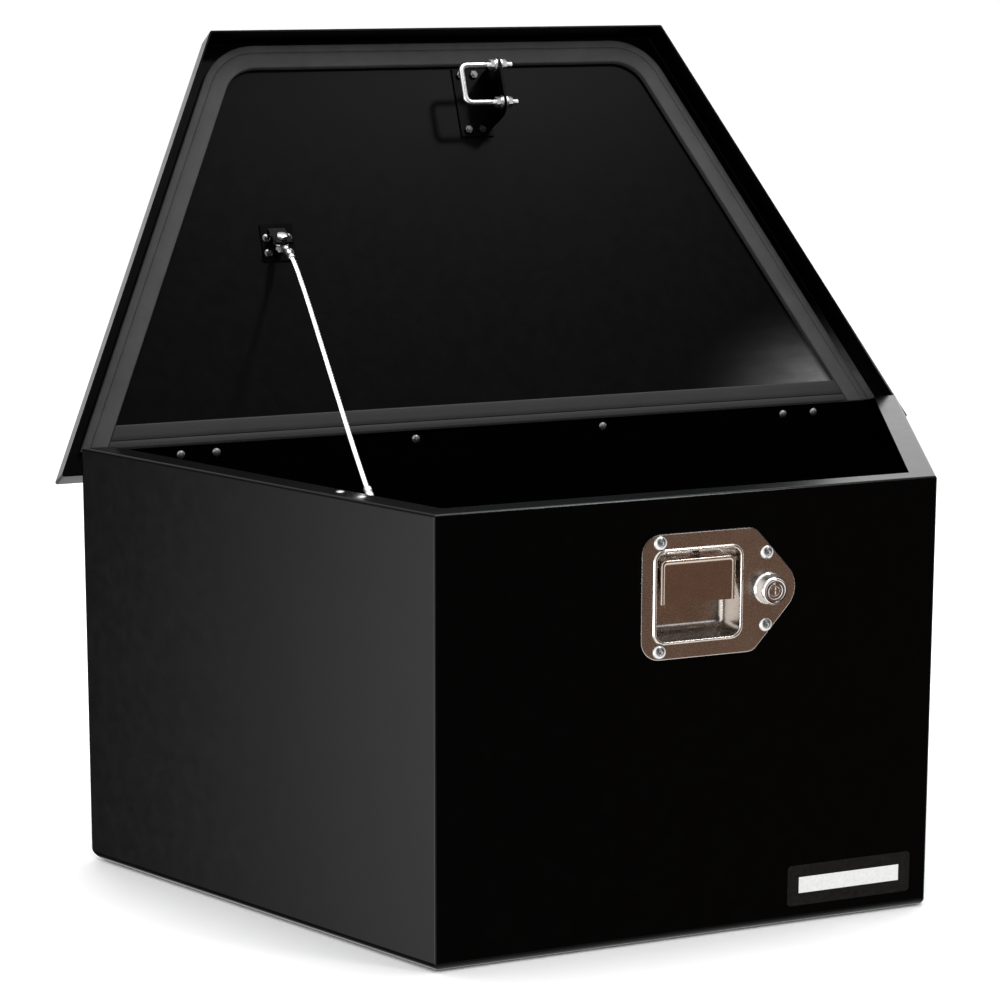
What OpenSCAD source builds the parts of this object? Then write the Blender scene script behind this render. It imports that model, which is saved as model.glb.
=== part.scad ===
// Tongue box for a trailer's A-frame: a steel tub with a trapezoid plan, a hinged lid with a
// foam seal and a stay cable, and a flush paddle latch whose rotor catches a U-bolt on the lid.
// The origin is the middle of the tub's underside, +Y runs from the latch to the hinge, +Z is up.
// The lid is drawn open, as far back as its cable lets it go.

/* [Tub] */
// Width of the tub's front wall
tub_w = 546; // [480:1:700]
// Depth of the tub, front wall to back wall
tub_d = 478; // [420:1:600]
// Height of the tub
tub_h = 457; // [400:1:560]
// Angle of each side wall, half of the trailer's A-frame
side_angle = 25; // [20:1:28]
// Thickness of the steel sheet
sheet_t = 2; // [1.5:0.1:3]
// Width of the rim that is folded inwards
rim_w = 27; // [22:1:32]
// Outside radius of the sharp folds
bend_r = 3; // [2.5:0.1:4]
// Radius of the fold at the foot of the front and side walls
foot_r = 9; // [5:1:14]
// Radius of the fold at the foot of the back wall
heel_r = 22; // [10:1:25]
// Radius of the side walls' rear top corner
crown_r = 9; // [4:1:15]

/* [Lid] */
// Angle that the lid opens to
open_angle = 114.4; // [90:0.1:120]
// Gap that the lid's skirt keeps from the front and side walls
lid_reach = 12.5; // [11:0.1:16]
// Depth of the lid's skirt, top face to lip
skirt_h = 38; // [34:1:44]
// Height of the closed lid's top face above the rim
lid_rise = 11; // [10:0.5:14]
// Width of the foam seal
seal_w = 27.5; // [20:0.5:30]
// Radius of the seal's front corners
seal_r = 70; // [50:1:90]

/* [Hinge] */
// Outside diameter of the hinge's knuckles
knuckle_d = 10; // [9.6:0.1:10]
// Diameter of the hinge pin
pin_d = 6; // [4:0.1:6.5]
// Length of the hinge
hinge_len = 930; // [760:1:930]
// Number of knuckles, an odd number
knuckles = 37; // [21:2:45]

/* [Latch] */
// Middle of the latch's dish, to the right of the tub's centre line
latch_x = 4; // [-20:1:20]
// Middle of the dish, below the rim
latch_drop = 100; // [98:1:110]
// Inside width of the dish
dish_w = 91; // [88:1:96]
// Inside height of the dish
dish_h = 89.5; // [86:0.5:94]
// Depth of the dish behind the front wall
dish_depth = 26; // [24:1:26]
// Angle that the paddle pulls out to
paddle_angle = 30; // [20:1:30]
// Diameter of the lock's barrel
lock_d = 29; // [24:1:30]
// Distance from the dish's middle to the lock
lock_reach = 77.5; // [76:0.5:84]

/* [Striker and cable] */
// Diameter of the U-bolt
bar_d = 6.4; // [6:0.1:8]
// Distance between the middles of the U-bolt's legs
bar_span = 46; // [42:1:50]
// Drop from the lid's top face to the U-bolt
bar_drop = 50; // [46:1:54]
// Diameter of the wire rope
rope_d = 4.8; // [3:0.1:5]

/* [Hidden] */
$fn = 48;

paint = [0.05, 0.05, 0.055];
stainless = [0.62, 0.56, 0.51];
zinc = [0.78, 0.79, 0.8];
foam = [0.16, 0.16, 0.17];
dark_steel = [0.12, 0.12, 0.13];

slope = tan(side_angle);
front_y = -tub_d / 2;
back_y = tub_d / 2;
fit_gap = 0.05;
hole_gap = 0.1;
far = 700;

// Half of the plan's width at y, moved outwards by grow at right angles to the side wall
function half_w(y, grow) = tub_w / 2 + (y - front_y) * slope + grow / cos(side_angle);
function plan(grow, y0, y1) = [[-half_w(y0, grow), y0], [half_w(y0, grow), y0],
    [half_w(y1, grow), y1], [-half_w(y1, grow), y1]];

// Corner p of an outline as an arc of radius r, between its neighbours a and b
function unit(v) = v / norm(v);
function wrap(t) = t > 180 ? t - 360 : t < -180 ? t + 360 : t;
function corner_arc(a, p, b, r, steps) = r <= 0 ? [p] :
    let (u = unit(a - p), v = unit(b - p), half = acos(u * v) / 2)
    let (mid = p + unit(u + v) * r / sin(half), from = p + u * r / tan(half) - mid)
    let (to = p + v * r / tan(half) - mid, t0 = atan2(from.y, from.x))
    let (turn = wrap(atan2(to.y, to.x) - t0))
    [for (i = [0:steps]) mid + r * [cos(t0 + turn * i / steps), sin(t0 + turn * i / steps)]];
function rounded(pts, radii, steps = 6) = let (n = len(pts))
    [for (i = [0:n - 1])
        each corner_arc(pts[(i + n - 1) % n], pts[i], pts[(i + 1) % n], radii[i], steps)];
function rect(w, h) = [[-w / 2, -h / 2], [w / 2, -h / 2], [w / 2, h / 2], [-w / 2, h / 2]];

// A 2D shape in X and Z, extruded along Y from y0 to y1
module along_y(y0, y1) {
    translate([0, y1, 0]) rotate([90, 0, 0]) linear_extrude(y1 - y0) children();
}
// A 2D shape in Y and Z, extruded along X
module along_x(x0, x1) {
    translate([x0, 0, 0]) rotate([90, 0, 90]) linear_extrude(x1 - x0) children();
}
module rod_x(r, x0, x1) {
    translate([x0, 0, 0]) rotate([0, 90, 0]) cylinder(r = r, h = x1 - x0);
}
module rod_y(r, y0, y1) {
    translate([0, y0, 0]) rotate([-90, 0, 0]) cylinder(r = r, h = y1 - y0);
}
module ring(outer, inner, h) {
    difference() {
        cylinder(r = outer, h = h);
        translate([0, 0, -1]) cylinder(r = inner, h = h + 2);
    }
}
module hex(flats, h) {
    cylinder(r = flats / sqrt(3), h = h, $fn = 6);
}
module hex_nut(flats, bore_r, h) {
    difference() {
        hex(flats, h);
        translate([0, 0, -1]) cylinder(r = bore_r, h = h + 2);
    }
}
// A domed head of radius r and height h, rising along +Z
module dome(r, h) {
    ball = (r * r + h * h) / (2 * h);
    intersection() {
        cylinder(r = r, h = h);
        translate([0, 0, h - ball]) sphere(r = ball);
    }
}
// A coil of touching turns about Z, drawn as stacked rings
module coil(r, wire_r, turns) {
    for (i = [0:turns - 1])
        translate([0, 0, wire_r + i * 2 * wire_r]) rotate_extrude()
            translate([r, 0]) circle(r = wire_r, $fn = 16);
}

// A block with the box's plan. Radii run front foot, heel, crown, front top; then side foot, top
module plan_block(grow, y0, y1, z0, z1, radii, side_radii) {
    intersection() {
        translate([0, 0, z0]) linear_extrude(z1 - z0)
            polygon(rounded(plan(grow, y0, y1), [bend_r, bend_r, bend_r, bend_r]));
        along_x(-far, far)
            polygon(rounded([[y0, z0], [y1, z0], [y1, z1], [y0, z1]], radii));
        for_both_sides(grow, z0, z1, side_radii);
    }
}
module for_both_sides(grow, z0, z1, side_radii) {
    intersection() {
        side_half(grow, z0, z1, side_radii);
        mirror([1, 0, 0]) side_half(grow, z0, z1, side_radii);
    }
}
module side_half(grow, z0, z1, side_radii) {
    translate([half_w(front_y, grow), front_y, 0]) rotate([0, 0, -side_angle])
        along_y(-far, 2 * far)
        polygon(rounded([[0, z0], [0, z1], [-2 * far, z1], [-2 * far, z0]],
            [side_radii[0], side_radii[1], 0, 0]));
}
function less(radii, t) = [for (r = radii) max(r - t, 0)];

// ---- Tub: one folded shell, shared out between five sheets that are welded edge to edge
module tub_shell() {
    radii = [foot_r, heel_r, crown_r, bend_r];
    side_radii = [foot_r, bend_r];
    t = sheet_t;
    difference() {
        plan_block(0, front_y, back_y, 0, tub_h, radii, side_radii);
        plan_block(-t, front_y + t, back_y - t, t, tub_h - t, less(radii, t), less(side_radii, t));
        translate([0, 0, tub_h - t - 1]) linear_extrude(t + 2)
            polygon(plan(-rim_w, front_y + rim_w, back_y - t));
    }
}
// The seams between the sheets lie a little inside the rim's edge
seam_in = rim_w + 4;
seam_y = front_y + seam_in;
mitre_in = [half_w(seam_y, -seam_in), seam_y];
mitre_out = 1.5 * [half_w(front_y, 0), front_y] - 0.5 * mitre_in;
module front_region() {
    polygon([[-mitre_out.x, mitre_out.y], mitre_out, mitre_in, [-mitre_in.x, mitre_in.y]]);
}
module side_region() {
    polygon([mitre_in, mitre_out, [far, mitre_out.y], [far, back_y + 1],
        [half_w(back_y + 1, -seam_in), back_y + 1]]);
}
module tub_piece(top = tub_h) {
    intersection() {
        tub_shell();
        translate([0, 0, -1]) linear_extrude(top + 2) children();
    }
}

latch_z = tub_h - latch_drop;
module at_latch() {
    translate([latch_x, front_y, latch_z]) children();
}
screw_places = [[-42, 55], [-42, -55], [75, 37], [75, -37]];
screw_r = 2.4;
dish_wall = 1.6;
dish_corner = 10;
lock_body_r = 9.5;
module front_panel() {
    cut = 2 * (dish_wall + 0.9);
    color(paint) difference() {
        tub_piece() front_region();
        at_latch() {
            along_y(-1, sheet_t + 1)
                polygon(rounded(rect(dish_w + cut, dish_h + cut),
                    [for (i = [0:3]) dish_corner]));
            for (p = screw_places)
                translate([p.x, 0, p.y]) rod_y(screw_r + hole_gap, -1, sheet_t + 1);
            translate([lock_reach, 0, 0]) rod_y(lock_body_r + hole_gap, -1, sheet_t + 1);
        }
    }
}
anchor_screws = [[-307, front_y + 111], [-318.3, front_y + 143]];
anchor_screw_r = 2.4;
module right_panel() {
    color(paint) tub_piece() side_region();
}
module left_panel() {
    color(paint) difference() {
        tub_piece() mirror([1, 0, 0]) side_region();
        for (p = anchor_screws)
            translate([p.x, p.y, tub_h - sheet_t - 1])
                cylinder(r = anchor_screw_r + hole_gap, h = sheet_t + 2);
    }
}
back_drop = 5;
hem_h = 25;
module back_panel() {
    color(paint) difference() {
        union() {
            difference() {
                tub_piece() polygon(plan(-seam_in, back_y - seam_in, back_y + 1));
                translate([-far, back_y - seam_in - 1, tub_h - back_drop])
                    cube([2 * far, seam_in + 2, back_drop + 1]);
            }
            translate([-hinge_len / 2, back_y, tub_h - back_drop - hem_h])
                cube([hinge_len, sheet_t, hem_h]);
        }
        tub_rivet_rows() rod_y(rivet_r + hole_gap, back_y - sheet_t - 1, back_y + sheet_t + 1);
    }
}
module floor_panel() {
    color(paint) tub_piece(sheet_t) polygon(plan(-seam_in, seam_y, back_y - seam_in));
}

decal = [142, 43];
decal_place = [183, 40.5];
decal_t = 0.2;
module plain_decal() {
    color([0.1, 0.1, 0.1]) translate([decal_place.x, 0, decal_place.y])
        along_y(front_y - decal_t, front_y) polygon(rounded(rect(decal.x, decal.y), [4, 4, 4, 4]));
}

// ---- Hinge: the pin lies behind the hem, under the lid's rear skirt
leaf_t = 2;
hinge_y = back_y + sheet_t + knuckle_d / 2;
hinge_z = tub_h - 25;
knuckle_r = knuckle_d / 2;
pitch = hinge_len / knuckles;
knuckle_gap = 0.5;
notch_gap = 0.8;
leaf_clear = 0.4;
rivet_r = 2.4;
rivet_head = 4.5;
rivet_places = [-385, -345, -114, 114, 345, 385];
tub_rivet_z = tub_h - 15;
lid_rivet_z = tub_h - 4;
lid_rivet_shift = 18;
module tub_rivet_rows() {
    for (x = rivet_places)
        translate([x, 0, tub_rivet_z]) children();
}
module lid_rivet_rows() {
    for (x = rivet_places)
        translate([x - sign(x) * lid_rivet_shift, 0, lid_rivet_z]) children();
}
// Every second knuckle from first, with the tab that ties it to the leaf at y0
module knuckle_row(first, y0) {
    for (i = [first:2:knuckles - 1]) {
        x0 = -hinge_len / 2 + i * pitch + knuckle_gap / 2;
        translate([0, hinge_y, hinge_z]) rod_x(knuckle_r, x0, x0 + pitch - knuckle_gap);
        translate([x0, y0, hinge_z])
            cube([pitch - knuckle_gap, leaf_t, knuckle_r + notch_gap + 1]);
    }
}
module pin_hole() {
    translate([0, hinge_y, hinge_z]) rod_x(pin_d / 2 + fit_gap, -far, far);
}
module hinge_tub_leaf() {
    y0 = back_y + sheet_t;
    z0 = hinge_z + knuckle_r + notch_gap;
    color(dark_steel) difference() {
        union() {
            knuckle_row(0, y0);
            translate([-hinge_len / 2, y0, z0])
                cube([hinge_len, leaf_t, tub_h - back_drop - z0]);
        }
        pin_hole();
        tub_rivet_rows() rod_y(rivet_r + hole_gap, y0 - 1, y0 + leaf_t + 1);
    }
}
module hinge_pin() {
    color(zinc) translate([0, hinge_y, hinge_z]) rod_x(pin_d / 2, -hinge_len / 2, hinge_len / 2);
}
module rivet(y0, y1) {
    rod_y(rivet_r, y0, y1);
    translate([0, y1, 0]) rotate([-90, 0, 0]) dome(rivet_head, 2);
    translate([0, y0, 0]) rotate([90, 0, 0]) dome(rivet_head, 2);
}
module hinge_tub_rivets() {
    color(dark_steel) tub_rivet_rows() rivet(back_y - sheet_t, back_y + sheet_t + leaf_t);
}

// ---- Lid, drawn closed and turned about the hinge pin to its open rest
module lid_open() {
    translate([0, hinge_y, hinge_z]) rotate([-open_angle, 0, 0])
        translate([0, -hinge_y, -hinge_z]) children();
}
lid_top = tub_h + lid_rise;
lid_under = lid_top - sheet_t;
lid_front = front_y - lid_reach;
lid_rear = hinge_y + knuckle_r + leaf_clear + sheet_t;
lid_lip = lid_top - skirt_h;
module lid_shell() {
    top = [0, 0, bend_r, bend_r];
    t = sheet_t;
    color(paint) lid_open() difference() {
        plan_block(lid_reach, lid_front, lid_rear, lid_lip, lid_top, top, [0, bend_r]);
        plan_block(lid_reach - t, lid_front + t, lid_rear - t, lid_lip - 1, lid_under,
            less(top, t), [0, bend_r - t]);
        translate([-far, lid_rear - t - 1, lid_lip - 1]) cube([2 * far, t + 2, hinge_z - lid_lip + 1]);
        lid_rivet_rows() rod_y(rivet_r + hole_gap, lid_rear - t - 1, lid_rear + 1);
        striker_screw_rows() translate([0, 0, lid_under - 1])
            cylinder(r = small_screw_r + hole_gap, h = t + 2);
        lid_anchor_rows() translate([0, 0, lid_under - 1])
            cylinder(r = rivet_r + hole_gap, h = t + 2);
    }
}
seal_gap = 1.6;
seal_front = front_y - 5.5;
seal_rear = back_y - 18.5;
module lid_seal() {
    outer = plan(-2, seal_front, seal_rear);
    inner = plan(-2 - seal_w, seal_front + seal_w, seal_rear - seal_w);
    inner_r = seal_r - seal_w;
    color(foam) lid_open() translate([0, 0, tub_h + seal_gap])
        linear_extrude(lid_under - tub_h - seal_gap) difference() {
            polygon(rounded(outer, [seal_r, seal_r, 0, 0], 12));
            polygon(rounded(inner, [inner_r, inner_r, 4, 4], 12));
        }
}
module hinge_lid_leaf() {
    y0 = lid_rear - sheet_t - leaf_t;
    z0 = hinge_z + knuckle_r + notch_gap;
    color(dark_steel) lid_open() difference() {
        union() {
            knuckle_row(1, y0 - leaf_clear);
            translate([-hinge_len / 2, y0, z0]) cube([hinge_len, leaf_t, lid_under - 1 - z0]);
        }
        pin_hole();
        lid_rivet_rows() rod_y(rivet_r + hole_gap, y0 - 1, y0 + leaf_t + 1);
    }
}
module hinge_lid_rivets() {
    color(dark_steel) lid_open()
        lid_rivet_rows() rivet(lid_rear - sheet_t - leaf_t, lid_rear);
}

// ---- Striker: an angle bracket under the lid carries the U-bolt on its upright
bar_x = 10;
bar_y = front_y + 62.5;
bar_z = lid_top - bar_drop;
upright_x = 54.5;
upright_t = 3;
bracket_t = 2.5;
leg_tip = 74;
bar_bend = 8;
washer_t = 3.2;
nut_h = 5.6;
small_screw_r = 2.4;
striker_screws = [[26, 102], [43, 102], [26, 34], [43, 34]];
module striker_screw_rows() {
    for (p = striker_screws)
        translate([p.x, front_y + p.y, 0]) children();
}
module leg_places() {
    for (s = [-1, 1])
        translate([0, bar_y + s * bar_span / 2, bar_z]) children();
}
module striker_bracket() {
    foot_y = front_y + 26;
    upright_y = front_y + 32;
    color(dark_steel) lid_open() difference() {
        union() {
            translate([17, foot_y, lid_under - bracket_t])
                cube([upright_x + upright_t - 17, 84, bracket_t]);
            along_x(upright_x, upright_x + upright_t)
                polygon(rounded([[upright_y, lid_under], [upright_y, bar_z - 9],
                    [upright_y + 68, bar_z - 9], [upright_y + 68, lid_under]], [0, 6, 20, 0]));
        }
        leg_places() rod_x(bar_d / 2 + hole_gap, upright_x - 1, upright_x + upright_t + 1);
        striker_screw_rows() translate([0, 0, lid_under - bracket_t - 1])
            cylinder(r = small_screw_r + hole_gap, h = bracket_t + 2);
    }
}
module striker_bracket_screws() {
    color(dark_steel) lid_open() striker_screw_rows() {
        translate([0, 0, lid_top]) dome(4.6, 2.2);
        translate([0, 0, lid_under - bracket_t - 5]) cylinder(r = small_screw_r,
            h = lid_top - lid_under + bracket_t + 5);
        translate([0, 0, lid_under - bracket_t - 3.4]) hex_nut(8, small_screw_r, 3.4);
    }
}
module striker_u_bolt() {
    half = bar_span / 2;
    color(zinc) lid_open() translate([bar_x, bar_y, bar_z]) {
        for (s = [-1, 1]) {
            translate([0, s * half, 0]) rod_x(bar_d / 2, bar_bend, leg_tip - bar_x);
            translate([bar_bend, s * (half - bar_bend), 0]) rotate([0, 0, s > 0 ? 90 : 180])
                rotate_extrude(angle = 90) translate([bar_bend, 0]) circle(r = bar_d / 2);
        }
        rod_y(bar_d / 2, bar_bend - half, half - bar_bend);
    }
}
module nut_stacks() {
    for (x = [upright_x - washer_t, upright_x + upright_t + washer_t])
        translate([x, 0, 0]) rotate([0, x < upright_x ? -90 : 90, 0]) children();
}
module striker_nuts() {
    color(zinc) lid_open() leg_places() nut_stacks() hex_nut(11.1, bar_d / 2 + hole_gap, nut_h);
}
module striker_washers() {
    lock_t = washer_t / 2;
    color(zinc) lid_open() leg_places() nut_stacks() translate([0, 0, -washer_t]) {
        ring(7.6, bar_d / 2 + hole_gap, lock_t);
        translate([0, 0, lock_t]) ring(5.8, bar_d / 2 + hole_gap, washer_t - lock_t);
    }
}

// ---- Stay cable. Its two ends, in the open lid's own rest, and the line between them
cable_top = [-226, 369, 652];
cable_foot = [-293, -125, 443];
cable_way = unit(cable_foot - cable_top);
tab_tilt = atan2(-cable_way.z, -cable_way.y);
eye_r = 9;
eye_hole = 4;
eye_t = 4;
ferrule_r = 4.2;
ferrule_l = 24;
top_swing = 10;
bolt_r = 3.2;
// The top eye's own axes: X across, Y back up the cable, Z along its bolt
module at_top_eye() {
    translate(cable_top) rotate([tab_tilt, 0, 0]) children();
}
// The tub's eye stands upright on a level bolt, and its ear turns a little to face it
foot_turn = atan2(cable_way.x, -cable_way.y);
module at_foot() {
    translate(cable_foot) rotate([0, 0, foot_turn]) children();
}
module at_foot_eye() {
    at_foot() rotate([asin(-cable_way.z), 0, 0]) rotate([0, 90, 0]) children();
}
function turned(p, a) = [p.x, p.y * cos(a) - p.z * sin(a), p.y * sin(a) + p.z * cos(a)];
// A point of the open lid, as the closed lid's frame has it
function closed(p) = let (c = [0, hinge_y, hinge_z]) c + turned(p - c, open_angle);
plate_w = 38;
plate_l = 44;
tab_w = 20;
tab_l = 37;
tab_t = 3;
tab_y = 26;
lid_anchor = closed(cable_top + turned([0, tab_y, eye_t / 2 + 2], tab_tilt));
lid_anchor_holes = [[-13, 30], [13, 30], [-13, 12], [13, 12]];
module lid_anchor_rows() {
    for (p = lid_anchor_holes)
        translate([lid_anchor.x + p.x, lid_anchor.y + p.y, 0]) children();
}
module cable_lid_bracket() {
    color(dark_steel) difference() {
        union() {
            lid_open() translate([lid_anchor.x - plate_w / 2, lid_anchor.y - 4, lid_under - 2])
                cube([plate_w, plate_l, 2]);
            intersection() {
                at_top_eye() translate([-tab_w / 2, -10, eye_t / 2 + 1]) cube([tab_w, 60, tab_t]);
                lid_open() translate([-far, front_y, hinge_z]) cube([2 * far, tub_d, lid_under - 1 - hinge_z]);
            }
        }
        at_top_eye() cylinder(r = bolt_r + hole_gap, h = 20, center = true);
        lid_open() lid_anchor_rows() translate([0, 0, lid_under - 3])
            cylinder(r = rivet_r + hole_gap, h = 4);
    }
}
module cable_lid_rivets() {
    color(dark_steel) lid_open() lid_anchor_rows() {
        translate([0, 0, lid_under - 2]) cylinder(r = rivet_r, h = sheet_t + 2);
        translate([0, 0, lid_top]) dome(rivet_head, 2);
        translate([0, 0, lid_under - 2]) rotate([180, 0, 0]) dome(rivet_head, 1.6);
    }
}
// A shouldered bolt through an eye and a tab: head above the tab, thread below the eye
module eye_bolt(tab) {
    cylinder(r = bolt_r, h = tab + eye_t + 2 + 8.5);
    rotate([180, 0, 0]) hex(11.1, 4.5);
}
module cable_lid_bolt() {
    top = eye_t / 2 + 1 + tab_t;
    color(zinc) at_top_eye() translate([0, 0, top]) rotate([180, 0, 0]) eye_bolt(tab_t);
}
module cable_lid_nut() {
    color(zinc) at_top_eye() translate([0, 0, -eye_t / 2 - 1 - nut_h])
        hex_nut(11.1, bolt_r + hole_gap, nut_h);
}
// An eye with its ferrule running down -Y, and the socket that the rope ends in
module rope_end() {
    difference() {
        union() {
            translate([0, 0, -eye_t / 2]) cylinder(r = eye_r, h = eye_t);
            translate([0, -eye_r - 2, 0]) cube([ferrule_r * 1.6, 10, eye_t], center = true);
            rod_y(ferrule_r, -eye_r - 4 - ferrule_l, -eye_r - 4);
        }
        cylinder(r = eye_hole, h = 2 * eye_t, center = true);
    }
}
module cable_lid_eye() {
    color(zinc) at_top_eye() rotate([0, 0, asin(cable_way.x) + top_swing]) rope_end();
}
module cable_tub_eye() {
    color(zinc) at_foot_eye() rotate([0, 0, 180]) rope_end();
}
rope_start = eye_r + 4 + ferrule_l;
rope_gap = 0.01;
top_turn = asin(cable_way.x) + top_swing;
top_way = turned([sin(top_turn), -cos(top_turn), 0], tab_tilt);
rope_a = cable_top + top_way * (rope_start + rope_gap);
rope_b = cable_foot - cable_way * (rope_start + rope_gap);
rope_rings = 24;
rope_sides = 8;
// The rope leaves the top ferrule a little aside and eases into a straight line to the foot
ease_a = rope_a + top_way * 30;
ease_b = rope_b - cable_way * 150;
function rope_at(t) = (1 - t) ^ 3 * rope_a + 3 * t * (1 - t) ^ 2 * ease_a
    + 3 * t ^ 2 * (1 - t) * ease_b + t ^ 3 * rope_b;
function rope_way(t) = unit((1 - t) ^ 2 * (ease_a - rope_a) + 2 * t * (1 - t) * (ease_b - ease_a)
    + t ^ 2 * (rope_b - ease_b));
function ring_points(c, w) = let (u = unit(cross(w, [1, 0, 0])), v = cross(w, u))
    [for (k = [0:rope_sides - 1])
        c + rope_d / 2 * (u * cos(360 * k / rope_sides) + v * sin(360 * k / rope_sides))];
module rope_tube() {
    n = rope_rings + 1;
    points = [for (i = [0:n - 1])
        each ring_points(rope_at(i / rope_rings), rope_way(i / rope_rings))];
    s = rope_sides;
    walls = [for (i = [0:n - 2], k = [0:s - 1])
        [i * s + k, (i + 1) * s + k, (i + 1) * s + (k + 1) % s, i * s + (k + 1) % s]];
    ends = [[for (k = [0:s - 1]) k], [for (k = [s - 1:-1:0]) (n - 1) * s + k]];
    polyhedron(points, concat(walls, ends));
}
module stay_cable() {
    color(zinc) rope_tube();
}
ear_t = 3;
module cable_tub_bolt() {
    color(zinc) at_foot_eye() translate([0, 0, -eye_t / 2 - 1 - ear_t]) eye_bolt(ear_t);
}
module cable_tub_nut() {
    color(zinc) at_foot_eye() translate([0, 0, eye_t / 2 + 1]) hex_nut(11.1, bolt_r + hole_gap, nut_h);
}
module cable_tub_bracket() {
    ear_x = cable_foot.x - eye_t / 2 - 1 - ear_t;
    under_rim = tub_h - sheet_t;
    color(dark_steel) difference() {
        union() {
            translate([0, 0, under_rim - 2.5]) linear_extrude(2.5)
                polygon([[ear_x, cable_foot.y - 10], [ear_x, cable_foot.y + 18],
                    [-309, front_y + 157], [-327, front_y + 151],
                    [-306, front_y + 88]]);
            at_foot() translate([-eye_t / 2 - 1 - ear_t, -10, -10])
                cube([ear_t, 18, under_rim - cable_foot.z + 10]);
        }
        at_foot_eye() cylinder(r = bolt_r + hole_gap, h = 30, center = true);
        for (p = anchor_screws)
            translate([p.x, p.y, under_rim - 4]) cylinder(r = anchor_screw_r + hole_gap, h = 5);
    }
}
module cable_tub_screws() {
    color(zinc) for (p = anchor_screws)
        translate([p.x, p.y, tub_h]) {
            dome(4.6, 1.2);
            translate([0, 0, -9]) cylinder(r = anchor_screw_r, h = 9);
            translate([0, 0, -sheet_t - 2.5 - 3.4]) hex_nut(8, anchor_screw_r, 3.4);
        }
}

// ---- Latch. Its frame has its origin on the front wall's outer face, at the dish's middle
gasket_t = 1.5;
plate_t = 2;
plate_front = -gasket_t - plate_t;
bead_h = 2;
bead_w = 3.6;
bulge_r = 29.8;
// The plate's outline: a panel with round corners and a round bulge for the lock
module plate_outline(shrink) {
    left = -61.8 + shrink;
    top = 63.5 - shrink;
    up = [61, top];
    low = [61, -top];
    r = bulge_r - shrink;
    reach = up - [lock_reach, 0];
    lean = atan2(reach.y, reach.x) - acos(r / norm(reach));
    bulge = [for (i = [-8:8]) [lock_reach, 0] + r * [cos(lean * i / 8), sin(lean * i / 8)]];
    polygon(concat(corner_arc([left, top], [left, -top], low, 20, 6),
        corner_arc([left, -top], low, bulge[0], 14, 6), bulge,
        corner_arc(bulge[16], up, [left, top], 14, 6),
        corner_arc(up, [left, top], [left, -top], 20, 6)));
}
module dish_outline(grow) {
    polygon(rounded(rect(dish_w + 2 * grow, dish_h + 2 * grow),
        [for (i = [0:3]) dish_corner + grow]));
}
module screw_holes(y0, y1) {
    for (p = screw_places)
        translate([p.x, 0, p.y]) rod_y(screw_r + hole_gap, y0, y1);
    translate([lock_reach, 0, 0]) rod_y(lock_body_r + hole_gap, y0, y1);
}
module latch_gasket() {
    color("black") at_latch() difference() {
        along_y(-gasket_t, 0) plate_outline(0.8);
        along_y(-gasket_t - 1, 1) dish_outline(dish_wall + 0.4);
        screw_holes(-gasket_t - 1, 1);
    }
}
// Paddle pivot, behind the plate and near the dish's top
pivot_y = 8;
pivot_z = 30;
paddle_pin_r = 2.5;
arm_x = 12;
arm_w = 8;
arm_t = 4;
arm_end = 38;
module latch_dish() {
    back = dish_depth + dish_wall;
    color(stainless) at_latch() difference() {
        union() {
            along_y(plate_front, -gasket_t) plate_outline(0);
            along_y(plate_front - bead_h, -gasket_t) dish_outline(bead_w);
            along_y(plate_front, back) dish_outline(dish_wall);
        }
        along_y(plate_front - bead_h - 1, dish_depth) dish_outline(0);
        screw_holes(plate_front - 1, 1);
        translate([arm_x - arm_w / 2 - 1, dish_depth - 1, 8]) cube([arm_w + 2, dish_wall + 2, 30]);
        translate([0, pivot_y, pivot_z]) rod_x(paddle_pin_r + hole_gap, -far, far);
    }
}
module latch_screws() {
    color(zinc) at_latch() for (p = screw_places)
        translate([p.x, 0, p.y]) {
            rod_y(screw_r, plate_front, sheet_t + 8);
            translate([0, plate_front, 0]) rotate([90, 0, 0]) difference() {
                dome(7, 3.4);
                translate([0, 0, 1.6]) cylinder(r = 2, h = 3, $fn = 6);
            }
        }
}
module latch_nuts() {
    color(zinc) at_latch() for (p = screw_places)
        translate([p.x, sheet_t, p.y]) rotate([-90, 0, 0]) {
            ring(6, screw_r + hole_gap, 1);
            translate([0, 0, 1]) hex_nut(8, screw_r + hole_gap, 4);
        }
}
paddle_w = 82.5;
paddle_top = 37.5;
paddle_low = -7.5;
cheek_t = 2;
cheek_d = 14;
module paddle() {
    front = plate_front - 0.5;
    skin = 2;
    mid = (paddle_top + paddle_low) / 2;
    h = paddle_top - paddle_low;
    color(stainless) at_latch() difference() {
        union() {
            translate([0, 0, mid]) along_y(front, front + skin)
                polygon(rounded(rect(paddle_w, h), [1, 1, 5, 5]));
            for (s = [-1, 1])
                translate([s * (paddle_w / 2 - cheek_t / 2) - cheek_t / 2, front + skin - 0.5, 0])
                    along_x(0, cheek_t) polygon([[0, paddle_low + 2], [cheek_d, 18],
                        [cheek_d, paddle_top - 2], [0, paddle_top - 5]]);
            translate([-paddle_w / 2 + 1, front + skin - 0.5, paddle_top - 5])
                cube([paddle_w - 2, 6, 2]);
            translate([arm_x - arm_w / 2, front + skin - 0.5, pivot_z])
                cube([arm_w, arm_end + pivot_y - front - skin + 0.5, arm_t]);
            translate([0, pivot_y, pivot_z]) rod_x(paddle_pin_r + 2, arm_x - arm_w / 2, arm_x + arm_w / 2);
        }
        translate([0, 0, mid - 5]) along_y(front - 1, front + 0.8)
            polygon(rounded(rect(paddle_w - 9, h), [0, 0, 3, 3]));
        translate([0, pivot_y, pivot_z]) rod_x(paddle_pin_r + fit_gap, -far, far);
    }
}
module paddle_pin() {
    reach = dish_w / 2 + dish_wall;
    color(zinc) at_latch() translate([0, pivot_y, pivot_z]) rod_x(paddle_pin_r, -reach, reach);
}
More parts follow.
